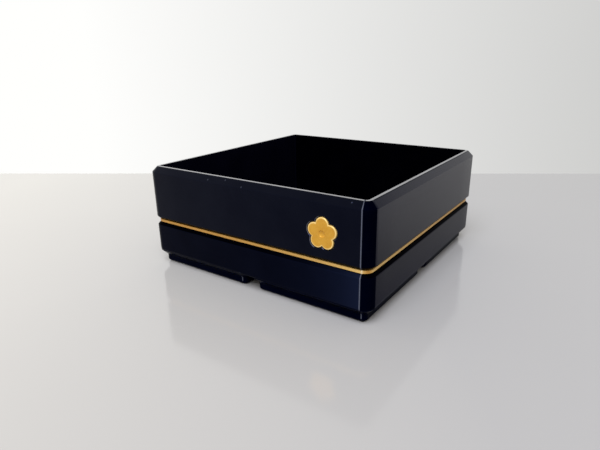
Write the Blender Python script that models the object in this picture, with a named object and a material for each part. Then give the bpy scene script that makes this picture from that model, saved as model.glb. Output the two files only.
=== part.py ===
"""Square open-top storage bin with four grid feet, a recessed gold band and a gold inlay.

Metres, +Z up. The origin is the middle of the footprint, on the table under the feet.
The front wall, which carries the inlay, looks along -Y.
"""

import math

import bmesh
import bpy

MM = 0.001

# Folds steeper than this are shaded sharp
SHARP_FOLD = math.radians(25)

# Storage grid that the feet drop into
CELL_PITCH = 42.0 * MM
CELLS_PER_SIDE = 2
CELL_PLAY = 0.5 * MM

# Fit between pieces that meet
FIT_CLEARANCE = 0.25 * MM

# Feet, from the sole up: toe chamfer, straight side, shoulder chamfer, neck under the floor
FOOT_TOE = 0.8 * MM
FOOT_STRAIGHT = 1.8 * MM
FOOT_SHOULDER = 2.05 * MM
FOOT_NECK = 0.1 * MM

# Shell: height to the rim, floor plate, straight lower face, chamfer outside the rim, corners
BIN_HEIGHT = 34.2 * MM
FLOOR_THICKNESS = 2.25 * MM
LOWER_FACE = 9.25 * MM
RIM_CHAMFER = 1.8 * MM
CORNER_RADIUS = 3.75 * MM
CORNER_STEPS = 10

# Groove round the waist, the band in it and the tongue behind the band
GROOVE_DEPTH = 0.9 * MM
GROOVE_FLANK = 0.85 * MM
BAND_HEIGHT = 0.9 * MM
BAND_THICKNESS = 0.75 * MM
TONGUE_THICKNESS = 1.0 * MM
TONGUE_ENGAGEMENT = 4.0 * MM

# Inlay: a five-petalled blossom near the right-hand end of the front wall
PETALS = 5
PETAL_STEPS = 12
INLAY_TIP_RADIUS = 4.6 * MM
INLAY_NOTCH_RADIUS = 3.4 * MM
INLAY_FROM_SIDE = 14.5 * MM
INLAY_BELOW_MIDDLE = 0.8 * MM
INLAY_PROUD = 0.05 * MM
POCKET_DEPTH = 1.0 * MM
EYE_RADIUS = 1.0 * MM
EYE_DEPTH = 0.35 * MM

# Colours and finishes of the two plastics
BLACK_PLASTIC = (0.008, 0.008, 0.011, 1.0)
BLACK_ROUGHNESS = 0.38
GOLD_PLASTIC = (0.61, 0.35, 0.065, 1.0)
GOLD_ROUGHNESS = 0.42
GOLD_METALLIC = 0.35

# Plan sizes that follow
CELL_WIDTH = CELL_PITCH - CELL_PLAY
BIN_WIDTH = CELLS_PER_SIDE * CELL_PITCH - CELL_PLAY
WALL = GROOVE_DEPTH + BAND_THICKNESS + FIT_CLEARANCE + TONGUE_THICKNESS
TONGUE_INSET = WALL - TONGUE_THICKNESS
REBATE_INSET = TONGUE_INSET - FIT_CLEARANCE

# Heights that follow, from the table up
FOOT_TOP = FOOT_TOE + FOOT_STRAIGHT + FOOT_SHOULDER + FOOT_NECK
FLOOR_TOP = FOOT_TOP + FLOOR_THICKNESS
LOWER_TOP = FOOT_TOP + LOWER_FACE
BAND_SEAT = LOWER_TOP + GROOVE_FLANK
BAND_BOTTOM = BAND_SEAT + FIT_CLEARANCE
BAND_TOP = BAND_BOTTOM + BAND_HEIGHT
UPPER_SEAT = BAND_TOP + FIT_CLEARANCE
UPPER_BOTTOM = UPPER_SEAT + GROOVE_FLANK
UPPER_TOP = BIN_HEIGHT - RIM_CHAMFER
TONGUE_TOP = UPPER_SEAT + TONGUE_ENGAGEMENT
REBATE_TOP = TONGUE_TOP + FIT_CLEARANCE

# Place of the inlay on the front wall
FRONT = -BIN_WIDTH / 2
INLAY_X = BIN_WIDTH / 2 - INLAY_FROM_SIDE
INLAY_Z = (UPPER_BOTTOM + UPPER_TOP) / 2 - INLAY_BELOW_MIDDLE


def clear_scene():
    """Empties the scene."""
    for obj in list(bpy.data.objects):
        bpy.data.objects.remove(obj, do_unlink=True)


def plastic(name, colour, roughness, metallic):
    """A Principled material of one plastic."""
    material = bpy.data.materials.new(name)
    material.use_nodes = True
    shader = material.node_tree.nodes["Principled BSDF"]
    shader.inputs["Base Color"].default_value = colour
    shader.inputs["Roughness"].default_value = roughness
    shader.inputs["Metallic"].default_value = metallic
    material.diffuse_color = colour
    return material


def black_plastic(name):
    """Satin black, as the tray and the frame are printed."""
    return plastic(name, BLACK_PLASTIC, BLACK_ROUGHNESS, 0.0)


def gold_plastic(name):
    """Gold pigment in plastic, as the band and the inlay are printed."""
    return plastic(name, GOLD_PLASTIC, GOLD_ROUGHNESS, GOLD_METALLIC)


def square_loop(width, inset, z, centre=(0.0, 0.0)):
    """Points of a square with round corners, drawn inset from one of the given width, at height z.

    The corner arcs stay concentric as the inset grows, and none is sharper than the clearance.
    """
    radius = max(CORNER_RADIUS - inset, FIT_CLEARANCE)
    reach = width / 2 - inset - radius
    points = []
    for corner in range(4):
        start = corner * math.pi / 2
        middle_x = centre[0] + reach * (1 if corner in (0, 3) else -1)
        middle_y = centre[1] + reach * (1 if corner in (0, 1) else -1)
        for step in range(CORNER_STEPS + 1):
            angle = start + math.pi / 2 * step / CORNER_STEPS
            x = middle_x + radius * math.cos(angle)
            y = middle_y + radius * math.sin(angle)
            points.append((x, y, z))
    return points


def petal_loop(extra, y):
    """Outline of the blossom in the plane at y, grown outwards by extra.

    Each petal is the arc of a circle through its tip and the notches at both its sides.
    """
    half = math.pi / PETALS
    tip = INLAY_TIP_RADIUS
    notch = INLAY_NOTCH_RADIUS
    centre = (tip**2 - notch**2) / (2 * (tip - notch * math.cos(half)))
    radius = tip - centre + extra
    points = []
    for petal in range(PETALS):
        axis = math.pi / 2 + 2 * half * petal
        for step in range(PETAL_STEPS):
            off = half * (2 * step / PETAL_STEPS - 1)
            away = centre * math.cos(off) + math.sqrt(radius**2 - (centre * math.sin(off)) ** 2)
            x = INLAY_X + away * math.cos(axis + off)
            z = INLAY_Z + away * math.sin(axis + off)
            points.append((x, y, z))
    return points


def eye_loop(radius, y):
    """A circle round the blossom's middle, with one point for each point of its outline."""
    count = PETALS * PETAL_STEPS
    points = []
    for step in range(count):
        angle = math.pi / 2 - math.pi / PETALS + 2 * math.pi * step / count
        points.append((INLAY_X + radius * math.cos(angle), y, INLAY_Z + radius * math.sin(angle)))
    return points


def skin(name, loops, material, closed_ring=False):
    """One object from loops of equal length, joined in order by quads.

    A closed ring joins its last loop to its first. Otherwise a face caps each end.
    """
    mesh = bpy.data.meshes.new(name)
    shape = bmesh.new()
    rows = []
    for loop in loops:
        rows.append([shape.verts.new(point) for point in loop])
    pairs = list(zip(rows, rows[1:]))
    if closed_ring:
        pairs.append((rows[-1], rows[0]))
    else:
        shape.faces.new(list(reversed(rows[0])))
        shape.faces.new(rows[-1])
    for below, above in pairs:
        for index in range(len(below)):
            after = (index + 1) % len(below)
            shape.faces.new((below[index], below[after], above[after], above[index]))
    bmesh.ops.recalc_face_normals(shape, faces=shape.faces)
    shape.to_mesh(mesh)
    shape.free()
    mesh.shade_smooth()
    mesh.set_sharp_from_angle(angle=SHARP_FOLD)
    mesh.materials.append(material)
    obj = bpy.data.objects.new(name, mesh)
    bpy.context.scene.collection.objects.link(obj)
    return obj


def cut_or_join(obj, tool, operation):
    """Boolean of obj with a tool object, which is then only a guide."""
    tool.hide_render = True
    tool.display_type = "WIRE"
    modifier = obj.modifiers.new(tool.name, "BOOLEAN")
    modifier.operation = operation
    modifier.solver = "EXACT"
    modifier.object = tool


def profile_loops(profile):
    """The bin's outline carried along a profile of (inset, height) points."""
    return [square_loop(BIN_WIDTH, inset, z) for inset, z in profile]


def make_foot(name, centre, material):
    """A foot of one grid cell, from its sole up into the floor plate that it is one with."""
    neck = FOOT_NECK
    side = neck + FOOT_SHOULDER
    sole = side + FOOT_TOE
    profile = [
        (sole, 0.0),
        (side, FOOT_TOE),
        (side, FOOT_TOE + FOOT_STRAIGHT),
        (neck, FOOT_TOP - FOOT_NECK),
        (neck, FOOT_TOP + FLOOR_THICKNESS / 2),
    ]
    loops = [square_loop(CELL_WIDTH, inset, z, centre) for inset, z in profile]
    return skin(name, loops, material)


def make_lower_tray(material):
    """Floor, lower wall and tongue, with one foot in each grid cell."""
    profile = [
        (0.0, FOOT_TOP),
        (0.0, LOWER_TOP),
        (GROOVE_DEPTH, BAND_SEAT),
        (TONGUE_INSET, BAND_SEAT),
        (TONGUE_INSET, TONGUE_TOP),
        (WALL, TONGUE_TOP),
        (WALL, FLOOR_TOP),
    ]
    tray = skin("lower_tray", profile_loops(profile), material)
    first = -CELL_PITCH * (CELLS_PER_SIDE - 1) / 2
    for column in range(CELLS_PER_SIDE):
        for row in range(CELLS_PER_SIDE):
            centre = (first + column * CELL_PITCH, first + row * CELL_PITCH)
            foot = make_foot(f"foot_{column}_{row}", centre, material)
            cut_or_join(tray, foot, "UNION")
    return tray


def make_gold_band(material):
    """Ring that lies round the tongue, between the two black pieces."""
    back = GROOVE_DEPTH + BAND_THICKNESS
    profile = [
        (GROOVE_DEPTH, BAND_BOTTOM),
        (GROOVE_DEPTH, BAND_TOP),
        (back, BAND_TOP),
        (back, BAND_BOTTOM),
    ]
    return skin("gold_band", profile_loops(profile), material, closed_ring=True)


def make_upper_frame(material):
    """Upper wall with its rim, the rebate over the tongue and the inlay's pocket."""
    profile = [
        (GROOVE_DEPTH, UPPER_SEAT),
        (0.0, UPPER_BOTTOM),
        (0.0, UPPER_TOP),
        (RIM_CHAMFER, BIN_HEIGHT),
        (WALL, BIN_HEIGHT),
        (WALL, REBATE_TOP),
        (REBATE_INSET, REBATE_TOP),
        (REBATE_INSET, UPPER_SEAT),
    ]
    frame = skin("upper_frame", profile_loops(profile), material, closed_ring=True)
    mouth = FRONT - POCKET_DEPTH
    loops = [petal_loop(FIT_CLEARANCE, y) for y in (mouth, FRONT + POCKET_DEPTH)]
    cut_or_join(frame, skin("inlay_pocket", loops, material), "DIFFERENCE")
    return frame


def make_inlay(material):
    """Blossom with a round eye sunk into its middle."""
    back = FRONT + POCKET_DEPTH - FIT_CLEARANCE
    face = FRONT - INLAY_PROUD
    loops = [
        petal_loop(0.0, back),
        petal_loop(0.0, face),
        eye_loop(EYE_RADIUS, face),
        eye_loop(EYE_RADIUS, face + EYE_DEPTH),
    ]
    return skin("inlay", loops, material)


def main():
    clear_scene()
    make_lower_tray(black_plastic("tray_black"))
    make_gold_band(gold_plastic("band_gold"))
    make_upper_frame(black_plastic("frame_black"))
    make_inlay(gold_plastic("inlay_gold"))


main()
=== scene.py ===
# %% [markdown]
# # A square storage bin, printed in black and gold
# The object is a small open bin from a plastic printer. Four stepped feet drop into a storage grid,
# a gold band lies in a groove round the waist, and a gold blossom is let into the front wall.
# The solids come first: they fix every place and size, and the finer surfaces are built around them.

import bpy
import numpy as np
from mathutils import Matrix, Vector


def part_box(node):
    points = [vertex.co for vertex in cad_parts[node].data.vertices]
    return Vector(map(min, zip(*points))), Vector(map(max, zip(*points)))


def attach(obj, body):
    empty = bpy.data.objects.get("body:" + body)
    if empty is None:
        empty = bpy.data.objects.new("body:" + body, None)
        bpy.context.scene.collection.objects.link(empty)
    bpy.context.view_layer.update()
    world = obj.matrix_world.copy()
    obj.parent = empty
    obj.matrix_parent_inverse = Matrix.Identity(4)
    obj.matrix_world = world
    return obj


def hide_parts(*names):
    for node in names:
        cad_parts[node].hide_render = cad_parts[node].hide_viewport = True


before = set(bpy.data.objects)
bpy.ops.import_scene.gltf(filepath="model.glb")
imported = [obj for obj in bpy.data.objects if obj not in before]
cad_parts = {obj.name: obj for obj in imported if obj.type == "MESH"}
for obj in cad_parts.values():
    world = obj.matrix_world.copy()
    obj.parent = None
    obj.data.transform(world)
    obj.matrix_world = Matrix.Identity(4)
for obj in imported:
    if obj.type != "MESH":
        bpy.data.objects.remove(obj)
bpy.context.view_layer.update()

MM = 0.001

# %% [markdown]
# ## The camera
# The picture was taken by hand from the front right, a little above the rim, with a slight roll.
# A camera could be aimed with a Track To constraint. Here its three axes are worked out from the
# heading, the tilt and the roll, because a constraint can't hold the small roll. The lamp is placed
# by its axes later on, so the placing is a function.


# %% Placing by axes
def stand(thing, side, top, back, place):
    """Puts an object at a place, with its own x, y and z along side, top and back."""
    turn = np.eye(4)
    turn[:3, :] = np.stack([side, top, back, place], axis=1)
    thing.matrix_world = Matrix(turn.tolist())
    bpy.context.scene.collection.objects.link(thing)
    print("in m:", thing.name, "stands at", np.round(place, 3).tolist())


# %% Camera
PICTURE_WIDTH = 600
FOCAL_PIXELS = 479.0
SENSOR_WIDTH = 36.0
CAMERA_PLACE = np.array([90.58, -140.49, 67.48]) * MM
HEADING, TILT, ROLL = np.radians([35.42, 19.26, 0.95])
NEAREST = 5 * MM

ahead = np.array([-np.sin(HEADING), np.cos(HEADING), 0.0])
level = np.array([np.cos(HEADING), np.sin(HEADING), 0.0])
forward = np.cos(TILT) * ahead - np.array([0.0, 0.0, np.sin(TILT)])
down = np.cross(forward, level)
right = np.cos(ROLL) * level + np.sin(ROLL) * down
up = np.sin(ROLL) * level - np.cos(ROLL) * down

camera_data = bpy.data.cameras.new("table_camera")
camera_data.sensor_width = SENSOR_WIDTH
camera_data.lens = FOCAL_PIXELS / PICTURE_WIDTH * SENSOR_WIDTH
camera_data.clip_start = NEAREST
camera = bpy.data.objects.new("table_camera", camera_data)
stand(camera, right, up, -forward, CAMERA_PLACE)
bpy.context.scene.camera = camera
print("lens in mm:", round(camera_data.lens, 2))

# %% [markdown]
# ## Sizes from the solids
# The boxes of the solids give the width, the heights of the pieces and the depth of the groove.
# What a box can't tell, such as the corner radius and the wall, is named here once.

# %% Sizes
tray_low, tray_high = (np.array(corner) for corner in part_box("lower_tray"))
band_low, band_high = (np.array(corner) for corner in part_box("gold_band"))
frame_low, frame_high = (np.array(corner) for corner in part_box("upper_frame"))
inlay_low, inlay_high = (np.array(corner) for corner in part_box("inlay"))

HALF_WIDTH = frame_high[0]
CORNER_RADIUS = 3.75 * MM
WALL = 2.9 * MM
RIM_CHAMFER = 1.8 * MM
GROOVE_FLANK = 0.85 * MM
FIT = 0.25 * MM
TONGUE = 1.0 * MM

GROOVE_DEPTH = HALF_WIDTH - band_high[0]
TONGUE_INSET = WALL - TONGUE
REBATE_INSET = TONGUE_INSET - FIT
BAND_BOTTOM, BAND_TOP = band_low[2], band_high[2]
BAND_SEAT = BAND_BOTTOM - FIT
LOWER_TOP = BAND_SEAT - GROOVE_FLANK
UPPER_SEAT = frame_low[2]
UPPER_BOTTOM = UPPER_SEAT + GROOVE_FLANK
RIM_TOP = frame_high[2]
UPPER_TOP = RIM_TOP - RIM_CHAMFER
TONGUE_TOP = tray_high[2]
REBATE_TOP = TONGUE_TOP + FIT
print("in mm: half width", round(HALF_WIDTH / MM, 3), "groove", round(GROOVE_DEPTH / MM, 3))
print("in mm: rim", round(RIM_TOP / MM, 2), "tongue", round(TONGUE_TOP / MM, 2))

# %% [markdown]
# ## A walk round the bin
# Every wall of the bin follows the same outline: a square with round corners. A bevelled square
# could give it, but then nothing would say how far along the wall a point lies. So the outline is a
# walk: a length goes in, and out come an anchor on the inner square and the direction outwards.


# %% Walk round a square with round corners
def walk_square(along, half_width, radius):
    """Anchor and outward direction after walking the lengths in along, anticlockwise from the front.

    The walk starts where the front wall enters the front right corner. Each quarter of it is an arc,
    radius * pi / 2 long, and then a side. On the arc the direction turns by length / radius, and on
    the side the anchor advances. A point on the wall is anchor + (radius - inset) * direction.
    """
    reach = half_width - radius
    arc = radius * np.pi / 2
    corner, rest = np.divmod(along, arc + 2 * reach)
    start = (corner - 1) * np.pi / 2
    turned = start + np.minimum(rest, arc) / radius
    advance = np.maximum(rest - arc, 0.0)
    middle = start + np.pi / 4
    side = start + np.pi / 2
    x = reach * np.sqrt(2) * np.cos(middle) - advance * np.sin(side)
    y = reach * np.sqrt(2) * np.sin(middle) + advance * np.cos(side)
    outward = np.stack([np.cos(turned), np.sin(turned)], axis=1)
    return np.stack([x, y], axis=1), outward


# %% Length of the walk and its stops
ARC_STEPS = 12
STOP_DIGITS = 8


def walk_length(half_width, radius):
    """Length of a whole walk: four times an arc of radius * pi / 2 and a side."""
    return 4 * (radius * np.pi / 2 + 2 * (half_width - radius))


def walk_stops(half_width, radius, side_stops, extra):
    """Lengths at which columns of points stand: close on the arcs, wider on the sides, and at extra.

    They are rounded, so that stops which coincide become one.
    """
    reach = half_width - radius
    arc = radius * np.pi / 2
    quarter = arc + 2 * reach
    on_arc = arc * np.linspace(0, 1, ARC_STEPS + 1)
    on_side = arc + 2 * reach * np.arange(1, side_stops + 1) / (side_stops + 1)
    one_quarter = np.concatenate([on_arc, on_side])
    stops = (one_quarter + quarter * np.arange(4)[:, None]).ravel()
    return np.unique(np.round(np.concatenate([stops, np.mod(extra, 4 * quarter)]), STOP_DIGITS))


outline_length = walk_length(HALF_WIDTH, CORNER_RADIUS)
front_middle = outline_length - (HALF_WIDTH - CORNER_RADIUS)
print("in mm: outline", round(outline_length / MM, 1), "front middle at", round(front_middle / MM, 1))

# %% [markdown]
# ## Sections drawn with beads of plastic
# A printer lays the wall as beads, 0.2 mm high, so the wall isn't flat: it is a stack of shallow
# rounds. A bump texture could fake them, but real rounds also turn the gloss in the right direction
# and show on a bare mesh. A section is first drawn with sharp corners, each corner is then eased,
# and the line is sampled four times a bead: in the groove, on both flanks and on the crest.

# %% Easing the corners of a section
EDGE_EASE = 0.16 * MM


def eased(corners, size=EDGE_EASE, steps=4):
    """Line through corners, each inner one replaced by a curve between points size before and after it.

    The curve is (1 - t)^2 * before + 2 t (1 - t) * corner + t^2 * after. There may be a size for
    each corner.
    """
    corners = np.array(corners)
    middle = corners[1:-1]
    size = np.broadcast_to(size, len(middle))[:, None]
    to_last = corners[:-2] - middle
    to_next = corners[2:] - middle
    before = middle + size * to_last / np.linalg.norm(to_last, axis=1, keepdims=True)
    after = middle + size * to_next / np.linalg.norm(to_next, axis=1, keepdims=True)
    t = np.linspace(0, 1, steps + 1)[:, None, None]
    curve = (1 - t) ** 2 * before + 2 * t * (1 - t) * middle + t**2 * after
    return np.concatenate([corners[:1], curve.transpose(1, 0, 2).reshape(-1, 2), corners[-1:]])


# %% Laying beads along a section
LAYER = 0.2 * MM
BEAD = 0.42 * MM
BEAD_GROOVE = 0.010 * MM
SAMPLES = 4
LEAST_STEP = 0.1


def bead_depth(phase):
    """Depth below a bead's crest, with the phase in beads: groove * (1 + cos(2 pi phase)) / 2."""
    return BEAD_GROOVE * (1 + np.cos(2 * np.pi * phase)) / 2


def lay_beads(section):
    """Samples a section four times a bead, and says how deep each sample lies between two beads.

    The phase grows by rise / layer on a wall and by run / bead on a flat, whichever is more.
    """
    steps = np.abs(np.diff(section, axis=0))
    turns = np.maximum(steps[:, 0] / BEAD, steps[:, 1] / LAYER)
    phase = np.append(0.0, np.cumsum(turns))
    samples = np.append(np.arange(0.0, phase[-1] - LEAST_STEP, 1 / SAMPLES), phase[-1])
    points = np.stack([np.interp(samples, phase, section[:, k]) for k in (0, 1)], axis=1)
    return points, bead_depth(samples)


print("in mm: a bead is", round(BEAD / MM, 2), "wide and", round(LAYER / MM, 2), "high")


# %% Carrying a section round the walk
def sweep(along, section, lift, half_width=HALF_WIDTH, radius=CORNER_RADIUS, centre=(0.0, 0.0)):
    """Grid of points: a section of (inset, height) carried along the walk, raised by lift off its surface.

    With (run, rise) the section's direction, a point is anchor + (radius - inset + lift * rise) *
    outward in plan, at height + lift * run.
    """
    anchor, outward = walk_square(along, half_width, radius)
    direction = np.gradient(section, axis=0)
    direction /= np.linalg.norm(direction, axis=1, keepdims=True)
    reach = radius - section[:, :1] + lift * direction[:, 1:]
    height = section[:, 1:] + lift * direction[:, :1]
    plan = anchor + np.array(centre) + reach[:, :, None] * outward
    return np.dstack([plan, height])


# %% [markdown]
# ## From a grid to a mesh
# Blender takes a mesh as points and faces. On a grid the faces need no loop: shifting the table of
# point numbers by one row and one column gives the four corners of every quad at once. A column
# always joins its neighbour round the walk, and a ring also joins its last row to its first.


# %% Faces of a grid
def grid_faces(rows, columns, ring=False, first=0):
    """Corner numbers of the quads of a grid whose columns close on themselves, and the two end rows."""
    number = first + np.arange(rows * columns).reshape(rows, columns)
    lower = number if ring else number[:-1]
    upper = np.roll(number, -1, axis=0) if ring else number[1:]
    quads = np.stack([lower, np.roll(lower, -1, 1), np.roll(upper, -1, 1), upper], axis=-1)
    return quads.reshape(-1, 4), number[0, ::-1], number[-1]


def ring_faces(grid):
    """Faces of a grid that closes on itself in both directions."""
    quads, _, _ = grid_faces(*grid.shape[:2], ring=True)
    return quads.tolist()


def closed_faces(grids):
    """Faces of stacked grids (copies, rows, columns, 3), each closed by one face over either end row."""
    copies, rows, columns = grids.shape[:3]
    faces = []
    for copy in range(copies):
        quads, first_row, last_row = grid_faces(rows, columns, first=copy * rows * columns)
        faces += quads.tolist() + [first_row.tolist(), last_row.tolist()]
    return faces


# %% A piece from points and faces
SMOOTH_ANGLE = np.radians(32)


def smooth(mesh):
    """Shades a mesh smooth, apart from its sharp folds."""
    mesh.shade_smooth()
    mesh.set_sharp_from_angle(angle=SMOOTH_ANGLE)


def new_piece(name, points, faces, marks=None):
    """Object with smooth faces and sharp folds. Each entry of marks becomes a number on every point."""
    mesh = bpy.data.meshes.new(name)
    mesh.from_pydata(points.reshape(-1, 3), [], faces)
    smooth(mesh)
    for mark, values in (marks or {}).items():
        attribute = mesh.attributes.new(mark, "FLOAT", "POINT")
        attribute.data.foreach_set("value", values.ravel().astype(np.float32))
    piece = bpy.data.objects.new(name, mesh)
    bpy.context.scene.collection.objects.link(piece)
    print(name, "has", len(mesh.vertices), "points and", len(mesh.polygons), "faces")
    return piece


# %% [markdown]
# ## The seam
# A printer starts each layer at the same corner, and the starts pile up into a fine upright ridge.
# On this bin it stands just inside the front right corner and catches the light from the side. It is
# a bump across the walk, a little uneven from layer to layer, so it is added to the lift of a sweep.
# Pimples, where plastic oozed as the nozzle stopped, are small bells that are added in the same way.
# Both need columns of points that stand close together, so they bring stops of their own.

# %% Seam ridge
SEAM_HALF_WIDTH = 0.25 * MM
SEAM_HEIGHT = 0.13 * MM
SEAM_UNEVENNESS = 0.25
SEAM_SEED = 5
STOPS_ACROSS = np.linspace(-1, 1, 9)
SEAM_STOPS = SEAM_HALF_WIDTH * STOPS_ACROSS


def seam_ridge(along, at, rows, half_width=SEAM_HALF_WIDTH):
    """Share of the seam's height on a grid: cos^2 across the walk, with a seeded unevenness up the rows."""
    off = np.clip((along - at) / half_width, -1, 1)
    across = np.cos(off * np.pi / 2) ** 2
    uneven = 1 - SEAM_UNEVENNESS * np.random.default_rng(SEAM_SEED).random(rows)
    return uneven[:, None] * across


print("in mm: the seam stands out", round(SEAM_HEIGHT / MM, 2))

# %% Pimples
PIMPLE_SIZE = 0.15 * MM
PIMPLE_HEIGHT = 0.12 * MM
PIMPLE_REACH = 2.4 * PIMPLE_SIZE
PIMPLE_TONE = 0.35
PIMPLE_STOPS = PIMPLE_REACH * STOPS_ACROSS


def pimple_bells(along, height, at, level_at):
    """Share of a pimple's height on a grid, for pimples at the lengths at and the levels level_at.

    Each adds exp(-(a^2 + h^2)), with a along the walk and h upwards, both in pimple sizes.
    """
    off_along = ((along[:, None] - at) / PIMPLE_SIZE) ** 2
    off_height = ((height[:, None] - level_at) / PIMPLE_SIZE) ** 2
    return np.exp(-off_height[:, None, :] - off_along[None, :, :]).sum(axis=2)


print("in mm: a pimple stands out", round(PIMPLE_HEIGHT / MM, 2))

# %% [markdown]
# ## The lower tray
# The tray is one print: a wall with a groove flank at its top, a tongue that stands up behind the
# band, and a floor. Its section starts under the floor, climbs the outside, turns over the tongue
# and goes down inside to the floor. The flat underside and the flat floor close it as single faces.
# The lower edge hangs free over the feet and comes out rounder than the others, so it shows the table
# as a thin grey line. Beside the seam a painted sheen makes the plastic paler and bluish, so a second
# mark fades away from it.

# %% Section of the tray's wall
FOOT_TOP = 4.75 * MM
FLOOR_TOP = 7.0 * MM
SKIN = 0.3 * MM
JOINT_GAP = 0.02 * MM
JOINT_EASE = 0.03 * MM
JOINT_TOP = REBATE_TOP - JOINT_GAP
LOWER_FLAT, LOWER_EASE = 1.0 * MM, 0.6 * MM

outside, outside_depth = lay_beads(eased([
    (LOWER_FLAT, FOOT_TOP),
    (0.0, FOOT_TOP),
    (0.0, LOWER_TOP),
    (GROOVE_DEPTH, BAND_SEAT),
    (TONGUE_INSET, BAND_SEAT),
], [LOWER_EASE, EDGE_EASE, EDGE_EASE]))
inside, inside_depth = lay_beads(eased([
    (TONGUE_INSET, JOINT_TOP),
    (WALL, JOINT_TOP),
    (WALL, FLOOR_TOP - SKIN),
], JOINT_EASE))
tray_section = np.concatenate([outside, inside])
tray_depth = np.concatenate([outside_depth, inside_depth])
print("tray section:", len(outside), "points outside and", len(inside), "inside")

# %% Tray wall
TRAY_SIDE_STOPS = 14
TRAY_SEAM = CORNER_RADIUS * np.radians(11.5)
SEAM_SHEEN_LENGTH = 9 * MM
TRAY_PIMPLE_X, TRAY_PIMPLE_UP = -2.7 * MM, 0.4 * MM

tray_pimple_at = np.array([front_middle + TRAY_PIMPLE_X])
tray_extra = np.concatenate([TRAY_SEAM + SEAM_STOPS, tray_pimple_at + PIMPLE_STOPS])
tray_along = walk_stops(HALF_WIDTH, CORNER_RADIUS, TRAY_SIDE_STOPS, tray_extra)
tray_outside = (np.arange(len(tray_section)) < len(outside))[:, None]
tray_seam = seam_ridge(tray_along, TRAY_SEAM, len(tray_section)) * tray_outside
tray_pimple = pimple_bells(tray_along, tray_section[:, 1], tray_pimple_at, FOOT_TOP + TRAY_PIMPLE_UP)
tray_pimple *= tray_outside
tray_lift = SEAM_HEIGHT * tray_seam + PIMPLE_HEIGHT * tray_pimple - tray_depth[:, None]
tray_grid = sweep(tray_along, tray_section, tray_lift)
# Painted sheen: a mark that fades away from the seam.
before_seam = np.mod(TRAY_SEAM - tray_along, outline_length)
# The seam mark paints a highlight on the seam ridge and gives the pimples a share of the same pale tone.
tray_marks = {
    "seam": np.maximum(tray_seam, PIMPLE_TONE * tray_pimple),
    "seam_sheen": np.exp(-before_seam / SEAM_SHEEN_LENGTH) * np.ones((len(tray_section), 1)),
}
tray_wall = new_piece("tray_wall", tray_grid, closed_faces(tray_grid[None]), tray_marks)

# %% [markdown]
# ## The floor inside
# A floor's top layer is drawn with straight beads at 45 degrees, and they show as fine diagonal
# lines. Across the beads the height follows the same cosine, along them it is constant, so two
# points a line are enough: the ends of the diagonal between the walls. Two more points below them
# make the sheet a closed skin that is set into the tray. The soles get the same skin upside down, so
# the drawing of it is a function.


# %% Floor skin
def on_diagonal(across, away, height):
    """Point across the beads and away along them, both at 45 degrees to the walls.

    x is (across - away) / sqrt 2, and y is (across + away) / sqrt 2.
    """
    return np.stack([(across - away) / np.sqrt(2), (across + away) / np.sqrt(2), height], axis=-1)


def bead_skin(half, height, up, centre=(0.0, 0.0)):
    """Grid of a square skin of diagonal beads, whose face at that height looks up (1) or down (-1).

    Across the beads the face sinks by the depth between them. Each row holds the two ends of one
    diagonal, on the face and under it. The end rows stop at least half a step short of the corners.
    """
    reach = np.sqrt(2) * half
    steps = int(SAMPLES * reach / BEAD - 0.5)
    across = BEAD / SAMPLES * np.arange(-steps, steps + 1)
    away = up * (np.abs(across) - reach)
    face = height - up * bead_depth(across / BEAD)
    under = np.full_like(across, height - up * 2 * SKIN)
    grid = np.stack([
        on_diagonal(across, away, face),
        on_diagonal(across, away, under),
        on_diagonal(across, -away, under),
        on_diagonal(across, -away, face),
    ], axis=1)
    return grid + np.array([*centre, 0.0])


floor_grid = bead_skin(HALF_WIDTH - WALL, FLOOR_TOP, 1)
floor_skin = new_piece("tray_floor_skin", floor_grid, closed_faces(floor_grid[None]))

# %% [markdown]
# ## The feet
# Each of the four cells has a foot with a stepped side: a toe chamfer, a short upright and a wide
# shoulder under the floor. One foot is a sweep along a smaller walk, and the four feet are the same
# grid with its centre moved, so the arrays are stacked and the face numbers shifted. The first layer
# is drawn as a ring round the sole, filled with diagonal beads, so each sole has a skin set into it.

# %% Section of a foot
TOE, UPRIGHT, SHOULDER, NECK = np.array([0.8, 1.8, 2.05, 0.1]) * MM
SOLE_RING = 0.75 * MM
SINK = 0.25 * MM

side_inset = NECK + SHOULDER
sole_inset = side_inset + TOE + SOLE_RING
foot_section, foot_depth = lay_beads(eased([
    (sole_inset, SKIN),
    (sole_inset, 0.0),
    (side_inset + TOE, 0.0),
    (side_inset, TOE),
    (side_inset, TOE + UPRIGHT),
    (NECK, FOOT_TOP - NECK),
    (NECK, FOOT_TOP + SINK),
], [JOINT_EASE, EDGE_EASE, EDGE_EASE, EDGE_EASE, JOINT_EASE]))
print("foot section:", len(foot_section), "points")

# %% Feet and soles
CELL_PITCH = 42.0 * MM
CELL_HALF = CELL_PITCH / 2 - FIT
FOOT_SIDE_STOPS = 2
FOOT_SEAM = CORNER_RADIUS * np.radians(12)
FOOT_SEAM_HALF = 0.55 * MM
FOOT_SEAM_FROM, FOOT_SEAM_TO = 1.3 * MM, 3.1 * MM

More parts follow.
